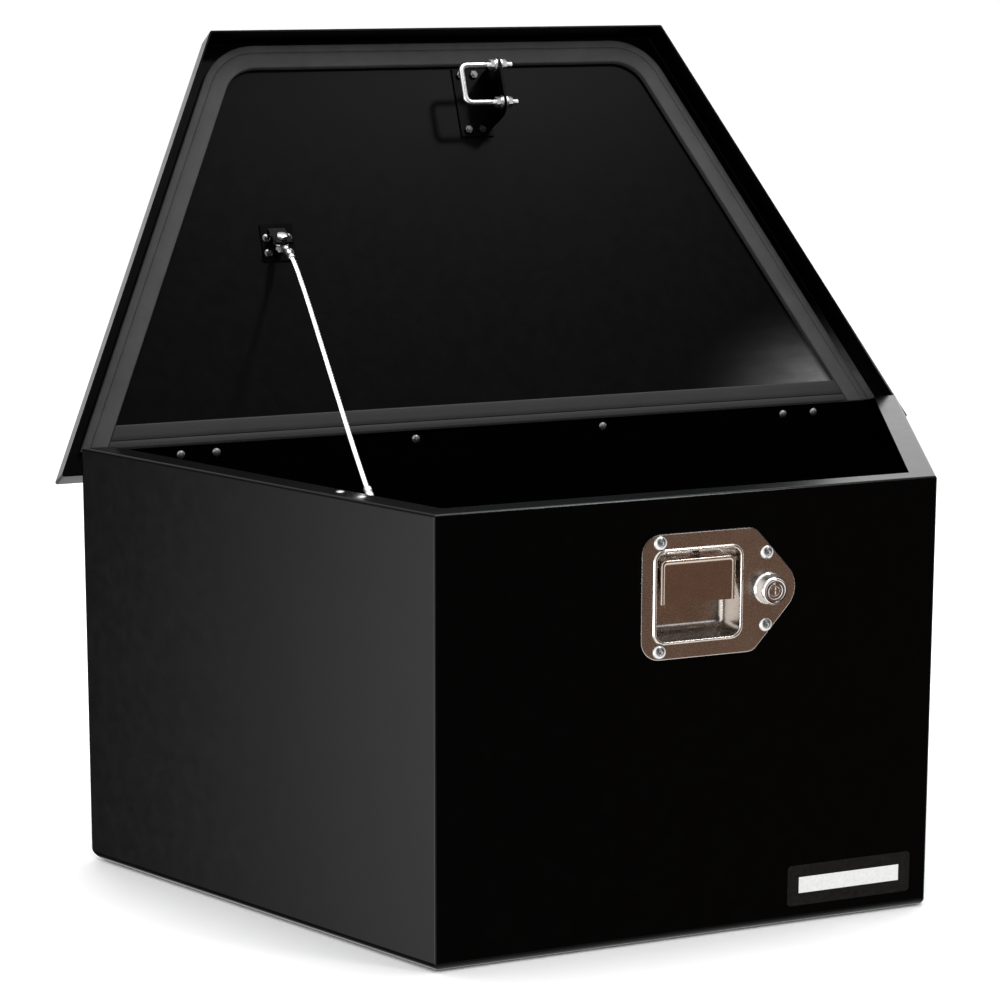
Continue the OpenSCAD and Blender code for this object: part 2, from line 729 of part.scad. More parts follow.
module paddle_spring() {
    wire = 0.8;
    color(zinc) at_latch() translate([-30, pivot_y, pivot_z]) {
        rotate([0, 90, 0]) coil(3.9, wire, 8);
        translate([12, 3.9, 0]) rotate([0, 0, 0]) rod_y(wire, 0, dish_depth - pivot_y - 4.4);
    }
}

// ---- Lock: a barrel that stands out of the plate, and a plug that turns the cam
lock_front = plate_front - 16;
plug_r = 7.5;
plug_back = 24;
module at_lock() {
    at_latch() translate([lock_reach, 0, 0]) children();
}
module lock_barrel() {
    color(zinc) at_lock() difference() {
        union() {
            rod_y(lock_d / 2, lock_front + 1.5, plate_front);
            rod_y(lock_d / 2 - 1.5, lock_front, lock_front + 2);
            rod_y(lock_body_r, plate_front - 1, 20);
        }
        rod_y(plug_r + fit_gap, lock_front - 1, 21);
        rod_y(10.5, lock_front - 1, lock_front + 1.2);
    }
}
module lock_nut() {
    color(zinc) at_lock() translate([0, sheet_t, 0]) rotate([-90, 0, 0])
        hex_nut(24, lock_body_r + hole_gap, 5);
}
module lock_plug() {
    color(zinc) at_lock() difference() {
        union() {
            rod_y(plug_r, lock_front + 1.2, 20.4);
            translate([-4, 20, -4]) cube([8, plug_back - 20, 8]);
            rod_y(3, plug_back - 1, plug_back + 5);
        }
        translate([-0.9, lock_front, -3.8]) cube([1.8, 14, 7.6]);
    }
}
cam_reach = 26;
module lock_cam() {
    color(zinc) at_lock() difference() {
        union() {
            rod_y(9, 20.6, 23);
            translate([-6, 20.6, -cam_reach]) cube([12, 2.4, cam_reach]);
        }
        translate([-4.1, 20, -4.1]) cube([8.2, 4, 8.2]);
    }
}
module lock_cam_nut() {
    color(zinc) at_lock() translate([0, 24.1, 0]) rotate([-90, 0, 0]) hex_nut(10, 3 + hole_gap, 3.2);
}

// ---- Catch: two plates hold the rotor and its pawl behind the dish
frame_y = 54;
frame_t = 2;
back_plate_y = 66.6;
rotor_x = bar_x - 14 - latch_x;
rotor_z = bar_z - latch_z;
rotor_r = 20;
rotor_y = frame_y + frame_t + 0.4;
rotor_t = 6;
rotor_pin_r = 4;
hub_r = 8;
mouth_w = bar_d + 4.6;
pawl_x = arm_x - arm_end;
pawl_pin_r = 3;
trip_r = 3;
pawl_z = pivot_z - 0.4 - trip_r;
frame_left = pawl_x - 10;
frame_right = 32;
frame_low = -6;
frame_top = rotor_z + 23;
module catch_holes(y0, y1) {
    translate([rotor_x, 0, rotor_z]) rod_y(rotor_pin_r + hole_gap, y0, y1);
    translate([pawl_x, 0, pawl_z]) rod_y(pawl_pin_r + hole_gap, y0, y1);
    for (p = spacer_places)
        translate([p.x, 0, p.y]) rod_y(2.5 + hole_gap, y0, y1);
}
spacer_places = [[frame_left + 6, rotor_z + 16], [frame_right - 6, 34], [frame_left + 6, 2]];
// The plates' outline, open at the top where the striker bar drops in
module frame_outline() {
    difference() {
        polygon(rounded([[frame_left, frame_low], [frame_right, frame_low],
            [frame_right, frame_top], [frame_left, frame_top]], [6, 6, 6, 6]));
        translate([bar_x - latch_x, rotor_z]) {
            circle(r = mouth_w / 2);
            translate([-mouth_w / 2, 0]) square([mouth_w, 40]);
        }
    }
}
module latch_frame() {
    web_y = dish_depth + dish_wall;
    color(dark_steel) at_latch() difference() {
        union() {
            along_y(frame_y, frame_y + frame_t) frame_outline();
            for (x = [frame_left, frame_right - frame_t])
                translate([x, web_y, frame_low]) cube([frame_t, frame_y - web_y + 1, 20]);
        }
        catch_holes(frame_y - 1, frame_y + frame_t + 1);
        translate([arm_x - 10, frame_y - 1, 2]) cube([15, frame_t + 2, 30]);
    }
}
module latch_back_plate() {
    color(dark_steel) at_latch() difference() {
        along_y(back_plate_y, back_plate_y + frame_t) frame_outline();
        catch_holes(back_plate_y - 1, back_plate_y + frame_t + 1);
    }
}
module frame_spacers() {
    color(zinc) at_latch() for (p = spacer_places)
        translate([p.x, 0, p.y]) {
            rod_y(4, frame_y + frame_t, back_plate_y);
            rod_y(2.5, frame_y - 1.5, back_plate_y + frame_t + 1.5);
        }
}
module headed_pin(r, y0, y1) {
    rod_y(r, y0 - 1.5, y1 + 1.5);
    rod_y(r + 1.6, y0 - 1.5, y0);
    rod_y(r + 1.6, y1, y1 + 1.5);
}
module rotor_pin() {
    color(zinc) at_latch() translate([rotor_x, 0, rotor_z])
        headed_pin(rotor_pin_r, frame_y, back_plate_y + frame_t);
}
module pawl_pin() {
    color(zinc) at_latch() translate([pawl_x, 0, pawl_z])
        headed_pin(pawl_pin_r, frame_y, back_plate_y + frame_t);
}
// The open rotor's mouth runs from just under the bar round to its upper jaw
module rotor() {
    low = -16;
    high = 74;
    color(zinc) at_latch() translate([rotor_x, 0, rotor_z]) difference() {
        union() {
            difference() {
                rod_y(rotor_r, rotor_y, rotor_y + rotor_t);
                along_y(rotor_y - 1, rotor_y + rotor_t + 1)
                    polygon([[0, 0], 40 * [cos(low), sin(low)], 50 * [cos(29), sin(29)],
                        40 * [cos(high), sin(high)]]);
            }
            rod_y(hub_r, rotor_y, rotor_y + rotor_t);
        }
        rod_y(rotor_pin_r + fit_gap, rotor_y - 1, rotor_y + rotor_t + 1);
    }
}
module rotor_spring() {
    wire = 0.7;
    color(zinc) at_latch() translate([rotor_x, rotor_y + rotor_t + 0.4, rotor_z])
        rotate([-90, 0, 0]) coil(5.4, wire, 2);
}
module pawl_spring() {
    wire = 0.7;
    color(zinc) at_latch() translate([pawl_x, rotor_y + rotor_t + 0.4, pawl_z])
        rotate([-90, 0, 0]) coil(4.4, wire, 2);
}
// The pawl's lever runs from its pin to the trip pin, with a nose under the rotor's rim
module pawl() {
    y0 = rotor_y;
    nose = rotor_r + 0.35;
    color(zinc) at_latch() difference() {
        union() {
            translate([pawl_x, 0, pawl_z]) {
                rod_y(7, y0, y0 + rotor_t);
                along_y(y0, y0 + rotor_t)
                    polygon([[0, -5], [arm_end - 2, -4], [arm_end, -3], [arm_end, 3],
                        [arm_end - 8, 5], [arm_end - 8, 16], [arm_end - 15, 18], [arm_end - 20, 6],
                        [0, 6]]);
                translate([arm_end, 0, 0]) rod_y(trip_r, frame_y - 11, y0 + rotor_t);
            }
        }
        translate([rotor_x, 0, rotor_z]) rod_y(nose, y0 - 1, y0 + rotor_t + 1);
        translate([pawl_x, 0, pawl_z]) rod_y(pawl_pin_r + fit_gap, y0 - 1, y0 + rotor_t + 1);
    }
}

front_panel();
left_panel();
right_panel();
back_panel();
floor_panel();
plain_decal();
hinge_tub_leaf();
hinge_pin();
hinge_tub_rivets();
lid_shell();
lid_seal();
hinge_lid_leaf();
hinge_lid_rivets();
striker_bracket();
striker_bracket_screws();
striker_u_bolt();
striker_nuts();
striker_washers();
cable_lid_bracket();
cable_lid_rivets();
cable_lid_bolt();
cable_lid_nut();
cable_lid_eye();
stay_cable();
cable_tub_eye();
cable_tub_bolt();
cable_tub_nut();
cable_tub_bracket();
cable_tub_screws();
latch_gasket();
latch_dish();
latch_screws();
latch_nuts();
paddle();
paddle_pin();
paddle_spring();
lock_barrel();
lock_nut();
lock_plug();
lock_cam();
lock_cam_nut();
latch_frame();
latch_back_plate();
frame_spacers();
rotor();
rotor_pin();
rotor_spring();
pawl();
pawl_pin();
pawl_spring();
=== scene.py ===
"""Looks for the trailer tongue box: camera, stay cable, materials, detailed pieces and light.

Lengths are in millimetres in the model's frame, and mm() turns them into metres.
"""
import math

import bmesh
import bpy
from mathutils import Matrix, Vector


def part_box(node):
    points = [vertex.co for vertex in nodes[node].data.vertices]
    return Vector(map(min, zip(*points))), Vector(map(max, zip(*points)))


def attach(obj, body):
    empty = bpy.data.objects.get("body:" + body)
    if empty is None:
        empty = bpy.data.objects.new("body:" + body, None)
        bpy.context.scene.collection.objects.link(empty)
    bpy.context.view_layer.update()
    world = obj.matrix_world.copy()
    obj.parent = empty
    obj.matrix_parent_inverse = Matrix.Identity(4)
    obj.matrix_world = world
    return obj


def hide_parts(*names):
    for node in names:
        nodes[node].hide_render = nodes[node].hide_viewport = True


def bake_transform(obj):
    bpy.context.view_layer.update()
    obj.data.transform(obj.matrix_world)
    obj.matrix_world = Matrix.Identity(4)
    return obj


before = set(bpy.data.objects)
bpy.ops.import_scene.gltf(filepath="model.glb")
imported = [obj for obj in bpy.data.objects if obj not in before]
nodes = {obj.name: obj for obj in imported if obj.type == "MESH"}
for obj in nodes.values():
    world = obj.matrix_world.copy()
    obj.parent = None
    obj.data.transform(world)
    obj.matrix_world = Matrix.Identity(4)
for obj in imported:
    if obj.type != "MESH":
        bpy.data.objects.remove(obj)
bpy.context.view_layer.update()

TAU = 2 * math.pi
FRONT_Y = -239.0
SLOPE = math.tan(math.radians(25))
COS25 = math.cos(math.radians(25))
HALF_FRONT = 273
LATCH = Vector((4, FRONT_Y, 357))
HINGE = Vector((0, 246, 432))
OPEN = math.radians(114.4)
LID_TOP, LID_UNDER = 468.0, 466.0


def mm(p):
    return Vector(p) * 0.001


# ---------------------------------------------------------------- camera
def make_camera():
    az, el, roll = math.radians(22.14), math.radians(11.19), math.radians(0.14)
    aim, distance = mm((-125, -39, 424)), 3.046
    back = Vector((-math.sin(az) * math.cos(el), -math.cos(az) * math.cos(el), math.sin(el)))
    side = Vector((math.cos(az), -math.sin(az), 0))
    up = back.cross(side)
    right = side * math.cos(roll) + up * math.sin(roll)
    up = back.cross(right)
    place = aim + back * distance
    cam = bpy.data.objects.new("camera", bpy.data.cameras.new("camera"))
    cam.matrix_world = Matrix((
        (right.x, up.x, back.x, place.x),
        (right.y, up.y, back.y, place.y),
        (right.z, up.z, back.z, place.z),
        (0, 0, 0, 1)))
    cam.data.sensor_width = 36
    cam.data.lens = 106.52
    cam.data.clip_end = 100
    bpy.context.scene.collection.objects.link(cam)
    bpy.context.scene.camera = cam


make_camera()


# ---------------------------------------------------------------- mesh helpers
def new_object(name, verts, faces, smooth=35, closed=True):
    """A mesh object from points in millimetres: open ends capped, shaded smooth below the angle."""
    mesh = bpy.data.meshes.new(name)
    mesh.from_pydata([tuple(mm(v)) for v in verts], [], faces)
    bm = bmesh.new()
    bm.from_mesh(mesh)
    bmesh.ops.remove_doubles(bm, verts=bm.verts, dist=1e-6)
    if closed:
        bmesh.ops.holes_fill(bm, edges=[e for e in bm.edges if e.is_boundary], sides=0)
    bmesh.ops.recalc_face_normals(bm, faces=bm.faces)
    bm.to_mesh(mesh)
    bm.free()
    obj = bpy.data.objects.new(name, mesh)
    bpy.context.scene.collection.objects.link(obj)
    shade(obj, smooth)
    return obj


def shade(obj, angle):
    """Smooth shading, with sharp edges where faces meet at more than the angle, and at open edges."""
    mesh = obj.data
    mesh.polygons.foreach_set("use_smooth", [True] * len(mesh.polygons))
    bm = bmesh.new()
    bm.from_mesh(mesh)
    for e in bm.edges:
        if len(e.link_faces) != 2 or e.calc_face_angle(0) > math.radians(angle):
            e.smooth = False
    bm.to_mesh(mesh)
    bm.free()


def grid_faces(rows, cols, closed_rows=False, closed_cols=True):
    """Quads between neighbouring rows of points."""
    out = []
    for i in range(rows if closed_rows else rows - 1):
        for j in range(cols if closed_cols else cols - 1):
            a, b = i * cols + j, i * cols + (j + 1) % cols
            c, d = ((i + 1) % rows) * cols + (j + 1) % cols, ((i + 1) % rows) * cols + j
            out.append((a, b, c, d))
    return out


def lathe(profile, at, axis, steps=48):
    """Points and faces of a profile of (radius, height) turned about an axis through a point."""
    axis = Vector(axis).normalized()
    u = axis.orthogonal().normalized()
    v = axis.cross(u)
    at = Vector(at)
    verts = []
    for r, h in profile:
        for k in range(steps):
            t = TAU * k / steps
            verts.append(at + axis * h + (u * math.cos(t) + v * math.sin(t)) * r)
    return verts, grid_faces(len(profile), steps)


def hex_nut(at, axis, flats, bore, height, steps=72):
    """A chamfered hexagon nut that rises along axis from at, with a countersunk bore."""
    axis = Vector(axis).normalized()
    u = axis.orthogonal().normalized()
    v = axis.cross(u)
    at = Vector(at)
    chamfer_r, chamfer_slope, sink = flats / 2 * 0.95, 0.55, 0.5

    def hexagon(t):
        a = (math.degrees(t) + 30) % 60 - 30
        return flats / 2 / math.cos(math.radians(a))

    def drop(t):
        return (hexagon(t) - chamfer_r) * chamfer_slope

    def ring(radius, rise):
        turns = [TAU * k / steps for k in range(steps)]
        return [at + axis * rise(t) + (u * math.cos(t) + v * math.sin(t)) * radius(t) for t in turns]

    rings = [ring(lambda t: bore + sink, lambda t: 0.0),
             ring(lambda t: chamfer_r, lambda t: 0.0),
             ring(hexagon, drop),
             ring(hexagon, lambda t: height - drop(t)),
             ring(lambda t: chamfer_r, lambda t: height),
             ring(lambda t: bore + sink, lambda t: height),
             ring(lambda t: bore, lambda t: height - sink),
             ring(lambda t: bore, lambda t: sink)]
    return [p for r in rings for p in r], grid_faces(len(rings), steps, closed_rows=True)


def capped(profile):
    """A profile that starts and ends on its axis."""
    return [(0.0, profile[0][1])] + profile + [(0.0, profile[-1][1])]


def end_faces(rows, cols):
    """One face over each end of an open grid of points."""
    return [tuple(i * cols + j for i in range(rows)) for j in (0, cols - 1)]


def join(parts):
    """The points and faces of several parts as one."""
    verts, faces = [], []
    for v, f in parts:
        base = len(verts)
        verts += v
        faces += [tuple(base + i for i in face) for face in f]
    return verts, faces


def arc_corner(a, p, b, r, steps):
    """The corner p of an outline, rounded to radius r between its neighbours."""
    a, p, b = Vector(a), Vector(p), Vector(b)
    u, v = (a - p).normalized(), (b - p).normalized()
    half = math.acos(max(-1, min(1, u.dot(v)))) / 2
    mid = p + (u + v).normalized() * r / math.sin(half)
    start = p + u * r / math.tan(half) - mid
    end = p + v * r / math.tan(half) - mid
    t0 = math.atan2(start.y, start.x)
    turn = (math.atan2(end.y, end.x) - t0 + math.pi) % TAU - math.pi
    return [mid + Vector((math.cos(t0 + turn * i / steps), math.sin(t0 + turn * i / steps))) * r
            for i in range(steps + 1)]


def rounded(points, radii, steps=8):
    """An outline with each corner rounded to its own radius."""
    n = len(points)
    out = []
    for i in range(n):
        out += arc_corner(points[i - 1], points[i], points[(i + 1) % n], radii[i], steps)
    return out


def rect(hw, hh, cx=0.0, cz=0.0):
    return [(cx - hw, cz - hh), (cx + hw, cz - hh), (cx + hw, cz + hh), (cx - hw, cz + hh)]


def latch_point(x, y, z):
    return LATCH + Vector((x, y, z))


def half_w(y, grow):
    """Half of the box's width at y, with the walls moved out by grow."""
    return HALF_FRONT + (y - FRONT_Y) * SLOPE + grow / COS25


def lid_plan(grow, y0, y1):
    front, rear = half_w(y0, grow), half_w(y1, grow)
    return [(-front, y0), (front, y0), (rear, y1), (-rear, y1)]


def lid_open(p):
    """A point of the closed lid, where the open lid has it."""
    turn = Matrix.Rotation(-OPEN, 3, "X")
    return HINGE + turn @ (Vector(p) - HINGE)


# ---------------------------------------------------------------- material helpers
def material(name):
    mat = bpy.data.materials.new(name)
    mat.use_nodes = True
    tree = mat.node_tree
    return mat, tree, tree.nodes["Principled BSDF"]


def link(tree, a, b):
    tree.links.new(a, b)


def coords(tree, scale=(1, 1, 1)):
    tex = tree.nodes.new("ShaderNodeTexCoord")
    mapping = tree.nodes.new("ShaderNodeMapping")
    mapping.inputs["Scale"].default_value = scale
    link(tree, tex.outputs["Object"], mapping.inputs["Vector"])
    return mapping.outputs["Vector"]


def noise(tree, vector, scale, detail=3.0, rough=0.55):
    n = tree.nodes.new("ShaderNodeTexNoise")
    n.inputs["Scale"].default_value = scale
    n.inputs["Detail"].default_value = detail
    n.inputs["Roughness"].default_value = rough
    link(tree, vector, n.inputs["Vector"])
    return n.outputs["Fac"]


def ramp(tree, value, low, high, lo=0.3, hi=0.7):
    r = tree.nodes.new("ShaderNodeMapRange")
    r.inputs["From Min"].default_value = lo
    r.inputs["From Max"].default_value = hi
    r.inputs["To Min"].default_value = low
    r.inputs["To Max"].default_value = high
    link(tree, value, r.inputs["Value"])
    return r.outputs["Result"]


def feed(tree, value, socket):
    """Gives a socket a colour, a number or a link."""
    if isinstance(value, tuple):
        socket.default_value = (*value, 1)
    elif isinstance(value, (int, float)):
        socket.default_value = value
    else:
        link(tree, value, socket)


def mix_colour(tree, value, a, b):
    m = tree.nodes.new("ShaderNodeMix")
    m.data_type = "RGBA"
    feed(tree, a, m.inputs["A"])
    feed(tree, b, m.inputs["B"])
    link(tree, value, m.inputs["Factor"])
    return m.outputs["Result"]


def maths(tree, operation, *values):
    m = tree.nodes.new("ShaderNodeMath")
    m.operation = operation
    for value, socket in zip(values, m.inputs):
        feed(tree, value, socket)
    return m.outputs["Value"]


def dot_with(tree, vector, direction):
    d = tree.nodes.new("ShaderNodeVectorMath")
    d.operation = "DOT_PRODUCT"
    d.inputs[1].default_value = direction
    link(tree, vector, d.inputs[0])
    return d.outputs["Value"]


def bump(tree, value, strength, distance, shader, before=None):
    b = tree.nodes.new("ShaderNodeBump")
    b.inputs["Strength"].default_value = strength
    b.inputs["Distance"].default_value = distance
    link(tree, value, b.inputs["Height"])
    if before is not None:
        link(tree, before, b.inputs["Normal"])
    link(tree, b.outputs["Normal"], shader.inputs["Normal"])
    return b.outputs["Normal"]


def powder_coat(name="powder_coat", base=(0.0006, 0.0006, 0.00063), rough=(0.15, 0.2), level=0.12):
    """Semi-gloss black powder coat: faint orange peel, long soft waves and a little dust."""
    mat, tree, bsdf = material(name)
    v = coords(tree)
    peel = noise(tree, v, 520, 2.0)
    wave = noise(tree, v, 6, 1.0)
    dust = noise(tree, v, 60, 6.0, 0.7)
    link(tree, mix_colour(tree, ramp(tree, dust, 0, 1, 0.5, 0.85), base, tuple(c * 1.6 for c in base)),
         bsdf.inputs["Base Color"])
    link(tree, ramp(tree, dust, *rough), bsdf.inputs["Roughness"])
    bsdf.inputs["Specular IOR Level"].default_value = level
    first = bump(tree, wave, 0.05, 0.002, bsdf)
    bump(tree, peel, 0.08, 0.0001, bsdf, first)
    return mat


def painted_sheen_corner(mat, centre, reach, colour):
    """A painted highlight: a pale bloom in the base colour, mottled by noise, that fades out from a
    point in metres, on the open lid's inner face.
    """
    tree = mat.node_tree
    bsdf = tree.nodes["Principled BSDF"]
    stretch, fade = (0.72, 1, 1.3), 3.0
    inward = (0, -math.sin(OPEN), -math.cos(OPEN))
    gap = tree.nodes.new("ShaderNodeVectorMath")
    gap.operation = "DISTANCE"
    gap.inputs[1].default_value = tuple(a * b for a, b in zip(centre, stretch))
    link(tree, coords(tree, stretch), gap.inputs[0])
    near = ramp(tree, gap.outputs["Value"], 1, 0, 0, reach)
    # Noise mottles the painted highlight.
    sheen_mottle = ramp(tree, noise(tree, coords(tree, (1, 1, 4)), 14, 5.0, 0.65), 0.85, 1.05)
    facing = dot_with(tree, tree.nodes.new("ShaderNodeTexCoord").outputs["Normal"], inward)
    near = maths(tree, "MULTIPLY", near, sheen_mottle)
    near = maths(tree, "MULTIPLY", near, ramp(tree, facing, 0, 1, 0.5, 0.9))
    near = maths(tree, "POWER", near, fade)
    coat = bsdf.inputs["Base Color"].links[0].from_socket
    link(tree, mix_colour(tree, near, coat, colour), bsdf.inputs["Base Color"])


def metal(name, base, rough, streak=(1, 1, 1), streak_scale=400, bump_by=0.06, tint=None, bare=1.0):
    """Bare or plated metal: fine streaks along one axis and cloudy patches."""
    mat, tree, bsdf = material(name)
    bsdf.inputs["Metallic"].default_value = bare
    fine = noise(tree, coords(tree, streak), streak_scale, 3.0)
    cloud = noise(tree, coords(tree), 45, 4.0, 0.6)
    other = tint or tuple(c * 0.82 for c in base)
    link(tree, mix_colour(tree, ramp(tree, cloud, 0, 1), base, other), bsdf.inputs["Base Color"])
    link(tree, ramp(tree, fine, *rough), bsdf.inputs["Roughness"])
    bump(tree, fine, bump_by, 0.0001, bsdf)
    return mat


def rubber(name, base, pore_scale, strength, depth):
    """Foam or rubber: matt, with open pores and scuffs."""
    mat, tree, bsdf = material(name)
    v = coords(tree)
    cells = tree.nodes.new("ShaderNodeTexVoronoi")
    cells.inputs["Scale"].default_value = pore_scale
    link(tree, v, cells.inputs["Vector"])
    scuff = noise(tree, v, 30, 5.0, 0.65)
    link(tree, mix_colour(tree, ramp(tree, scuff, 0, 1), base, tuple(c * 1.5 for c in base)),
         bsdf.inputs["Base Color"])
    link(tree, ramp(tree, scuff, 0.72, 0.9), bsdf.inputs["Roughness"])
    bsdf.inputs["Specular IOR Level"].default_value = 0.35
    bump(tree, cells.outputs["Distance"], strength, depth, bsdf)
    return mat


def decal_film():
    """A black film with a plain pale band, and no lettering."""
    mat, tree, bsdf = material("decal_film")
    half_band_w, half_band_h = 0.058, 0.0085
    split = tree.nodes.new("ShaderNodeSeparateXYZ")
    link(tree, tree.nodes.new("ShaderNodeTexCoord").outputs["Object"], split.inputs["Vector"])
    low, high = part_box("plain_decal")
    cx, cz = (low.x + high.x) / 2, (low.z + high.z) / 2
    band = maths(tree, "MULTIPLY",
                 maths(tree, "COMPARE", split.outputs["X"], cx, half_band_w),
                 maths(tree, "COMPARE", split.outputs["Z"], cz, half_band_h))
    speck = noise(tree, coords(tree), 300, 3.0)
    ink = mix_colour(tree, ramp(tree, speck, 0, 1), (0.72, 0.72, 0.71), (0.82, 0.82, 0.81))
    film = mix_colour(tree, ramp(tree, speck, 0, 1), (0.004, 0.004, 0.004), (0.007, 0.007, 0.007))
    link(tree, mix_colour(tree, band, film, ink), bsdf.inputs["Base Color"])
    link(tree, ramp(tree, speck, 0.3, 0.42), bsdf.inputs["Roughness"])
    bsdf.inputs["Specular IOR Level"].default_value = 0.3
    bump(tree, band, 0.3, 0.0001, bsdf)
    return mat


# Coats: name, colour, roughness range, shine. Metals: name, colour, roughness range, stretch and
# scale of the streaks, bump, second colour, how bare. Foam: name, colour, pores, bump and its depth.
COAT = powder_coat()
# The front panel's copy of the coat is less red and more blue, to cancel the warm reflection at the
# front: a painted colour shift for light.
COAT_FRONT = powder_coat("powder_coat_front", (0.0004, 0.0009, 0.0011))
COAT_LID = powder_coat("powder_coat_lid", (0.0004, 0.0004, 0.0004), rough=(0.28, 0.34), level=0.085)
# Painted highlight: a pale bloom in the base colour at the open lid's lower right corner stands in for
# the sheen of light there.
painted_sheen_corner(COAT_LID, mm((452, 294, 458)), 0.16, (0.22, 0.22, 0.22))
DARK = powder_coat("black_hardware", (0.0006, 0.0006, 0.0006), (0.24, 0.32), 0.06)
STAINLESS = metal("stainless", (0.74, 0.69, 0.65), (0.2, 0.3), (1, 1, 6), 260, 0.05,
                  (0.64, 0.58, 0.53))
# The paddle's copy of the stainless is browner and darker: a painted warm reflection and painted shade,
# so the paddle stands apart from the recess.
STAINLESS_PAINTED_WARM = metal("stainless_paddle", (0.64, 0.53, 0.46), (0.2, 0.3), (1, 1, 8), 240, 0.05,
                    (0.58, 0.47, 0.4))
ZINC = metal("bright_zinc", (0.86, 0.87, 0.88), (0.24, 0.36), (1, 1, 1), 700, 0.05)
BLACK_ZINC = metal("black_zinc", (0.14, 0.14, 0.14), (0.22, 0.3), (1, 1, 1), 700, 0.04)
DULL = metal("dull_zinc", (0.42, 0.42, 0.42), (0.36, 0.5), (1, 1, 1), 700, 0.05)
CHROME = metal("chrome", (0.86, 0.85, 0.84), (0.1, 0.18), (1, 1, 1), 500, 0.03)
FOAM = rubber("foam", (0.034, 0.034, 0.035), 900, 0.3, 0.0005)
# A darker copy of the same foam for the rear strip: painted shade.
FOAM_REAR_PAINTED_SHADE = rubber("foam_rear", (0.014, 0.014, 0.0145), 900, 0.3, 0.0005)
GASKET = rubber("gasket_rubber", (0.008, 0.008, 0.008), 1500, 0.15, 0.0002)
WIRE = metal("wire_rope", (0.92, 0.92, 0.91), (0.4, 0.52), (1, 1, 1), 900, 0.08, (0.8, 0.8, 0.79), 0.75)


def paint(obj, mat):
    obj.data.materials.clear()
    obj.data.materials.append(mat)


def place(obj, body, mat, slot, *replaced):
    paint(obj, mat)
    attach(obj, body)
    if replaced:
        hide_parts(*replaced)
    return obj


# ---------------------------------------------------------------- the stay cable
TOP_EYE = Vector((-226, 369, 652))
FOOT_EYE = Vector((-293, -125, 443))
WAY = (FOOT_EYE - TOP_EYE).normalized()
TILT = math.atan2(-WAY.z, -WAY.y)
TOP_TURN = math.asin(WAY.x) + math.radians(10)
TOP_WAY = Matrix.Rotation(TILT, 3, "X") @ Vector((math.sin(TOP_TURN), -math.cos(TOP_TURN), 0))
EYE_R, NECK_L, FERRULE_L, FERRULE_R = 9.0, 4.0, 24.0, 4.2
ROPE_D, ROPE_LAY, ROPE_IN_FERRULE = 4.8, 34.0, 3.0
HEX_FLATS, HEX_BORE, HEX_HEIGHT = 11.1, 3.3, 5.6


def bezier(p, t):
    return p[0] * (1 - t) ** 3 + p[1] * 3 * t * (1 - t) ** 2 + p[2] * 3 * t * t * (1 - t) + p[3] * t ** 3


def make_rope():
    """Six twisted strands round a core, which bow a little below the top ferrule."""
    out = EYE_R + NECK_L + FERRULE_L - ROPE_IN_FERRULE
    start, end = TOP_EYE + TOP_WAY * out, FOOT_EYE - WAY * out
    bow_top, bow_foot = 30, 150
    ease = (start, start + TOP_WAY * bow_top, end - WAY * bow_foot, end)
    rings, sides, strands, path_steps = 320, 8, 6, 24
    line = [bezier(ease, i / (rings - 1)) for i in range(rings)]
    ways = [(line[min(i + 1, rings - 1)] - line[max(i - 1, 0)]).normalized() for i in range(rings)]
    runs = [0.0]
    for a, b in zip(line, line[1:]):
        runs.append(runs[-1] + (b - a).length)
    strand_r = ROPE_D / 6.0
    offset = ROPE_D / 2 - strand_r
    turns = [TAU * k / sides for k in range(sides)]
    parts = []
    for s in range(strands):
        verts = []
        for at, way, along in zip(line, ways, runs):
            u = way.cross(Vector((1, 0, 0))).normalized()
            v = way.cross(u)
            t = TAU * (along / ROPE_LAY + s / strands)
            radial = u * math.cos(t) + v * math.sin(t)
            around = v * math.cos(t) - u * math.sin(t)
            centre = at + radial * offset
            lean = (way + around * (TAU * offset / ROPE_LAY)).normalized()
            side = radial.cross(lean).normalized()
            verts += [centre + (radial * math.cos(a) + side * math.sin(a)) * strand_r for a in turns]
        parts.append((verts, grid_faces(rings, sides)))
    core = []
    for at, way in zip(line, ways):
        u = way.cross(Vector((1, 0, 0))).normalized()
        v = way.cross(u)
        core += [at + (u * math.cos(a) + v * math.sin(a)) * strand_r * 1.25 for a in turns]
    parts.append((core, grid_faces(rings, sides)))
    rope = new_object("stay_rope", *join(parts))
    paint(rope, WIRE)
    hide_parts("stay_cable")
    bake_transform(rope)


def make_eye(name, centre, axis, way, body, node):
    """A swaged end: a rounded ring, a flattened neck and a ferrule with two crimp bands."""
    axis, way = Vector(axis).normalized(), Vector(way).normalized()
    side = axis.cross(way).normalized()
    ring_r, ring_half_w, ring_half_t = 6.5, 2.5, 2.0
    ring = [(ring_r + ring_half_w * math.cos(TAU * k / 12), ring_half_t * math.sin(TAU * k / 12))
            for k in range(12)]
    parts = [lathe(ring + ring[:1], centre, axis, 40)]

    # The neck: distance along, half width and half thickness.
    neck = ((7.6, 5.0, 1.7), (9.5, 3.6, 1.9), (11.5, 3.4, 2.6), (13.2, 3.7, 3.7))
    turns = [TAU * k / 24 for k in range(24)]
    verts = [centre + way * along + side * half * math.cos(t) + axis * thick * math.sin(t)
             for along, half, thick in neck for t in turns]
    parts.append((verts, grid_faces(len(neck), len(turns))))

    a, b, crimp_r = EYE_R + NECK_L, EYE_R + NECK_L + FERRULE_L, 3.8
    profile = [(2.6, a - 0.4), (3.7, a), (FERRULE_R, a + 0.8), (FERRULE_R, a + 4), (crimp_r, a + 5),
               (crimp_r, a + 8), (FERRULE_R, a + 9), (FERRULE_R, a + 14), (crimp_r, a + 15),
               (crimp_r, a + 18), (FERRULE_R, a + 19), (FERRULE_R, b - 1.2), (3.6, b - 0.2), (2.6, b)]
    parts.append(lathe(profile, centre, way, 28))
    place(new_object(name, *join(parts)), body, ZINC, "zinc", node)


